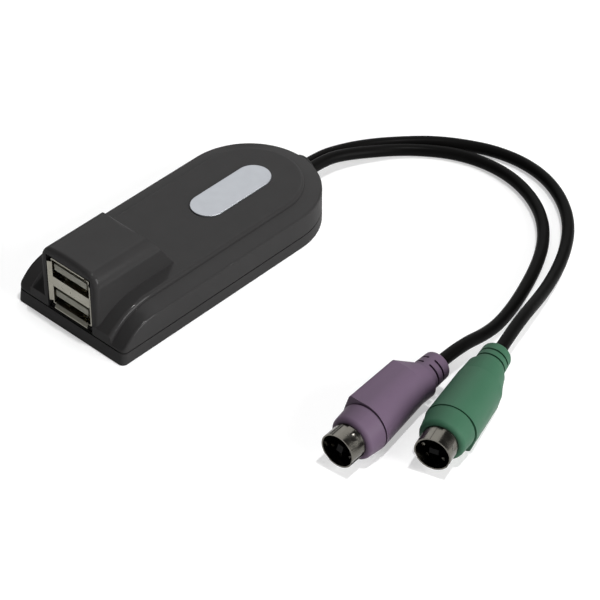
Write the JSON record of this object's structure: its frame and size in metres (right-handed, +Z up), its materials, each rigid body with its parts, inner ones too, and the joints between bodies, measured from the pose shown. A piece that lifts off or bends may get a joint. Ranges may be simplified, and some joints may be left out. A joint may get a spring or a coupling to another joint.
{
  "type": "crash cart adapter",
  "caption": "Low dark plastic adapter with stacked USB sockets under a raised hood, an oval plate on top, and thin cords from its rounded end to a purple and a green round plug.",
  "frame": {"origin": "middle of the case's underside, on the table that the case, the cords and the plugs lie on", "axes": "+Z up, +Y along the case from the sockets to the cords, +X towards the side on which the plugs lie"},
  "size_m": [0.1187, 0.1269, 0.0225],
  "materials": {
    "case": "finely grained charcoal moulding",
    "badge": "satin silver plate, left blank",
    "screw": "zinc plated",
    "board": "green solder mask",
    "socket_metal": "bright nickel plated sheet",
    "socket_plastic": "pale grey moulding",
    "gold": "gold plated",
    "chip": "black moulding",
    "tin": "tinned",
    "capacitor": "amber moulding",
    "header": "off-white moulding",
    "keyboard_wire": "red insulation",
    "mouse_wire": "blue insulation",
    "grommet": "charcoal moulding",
    "cord": "satin black jacket",
    "purple_grip": "soft purple moulding",
    "green_grip": "soft green moulding",
    "plug_metal": "nickel plated",
    "plug_insulator": "black moulding"
  },
  "bodies": {
    "root": {"upper_shell": "case", "lower_shell": "case", "badge": "badge", "case_screws": "screw", "circuit_board": "board", "usb_shield": "socket_metal", "usb_insulator": "socket_plastic", "usb_contacts": "gold", "controller_chip": "chip", "chip_leads": "tin", "crystal": "tin", "capacitors": "capacitor", "resistors": "chip", "cable_header": "header", "keyboard_wires": "keyboard_wire", "mouse_wires": "mouse_wire", "cable_grommet": "grommet", "keyboard_cord": "cord", "mouse_cord": "cord", "keyboard_plug_grip": "purple_grip", "keyboard_plug_shell": "plug_metal", "keyboard_plug_insulator": "plug_insulator", "keyboard_plug_pins": "plug_metal", "mouse_plug_grip": "green_grip", "mouse_plug_shell": "plug_metal", "mouse_plug_insulator": "plug_insulator", "mouse_plug_pins": "plug_metal"}
  },
  "joints": []
}
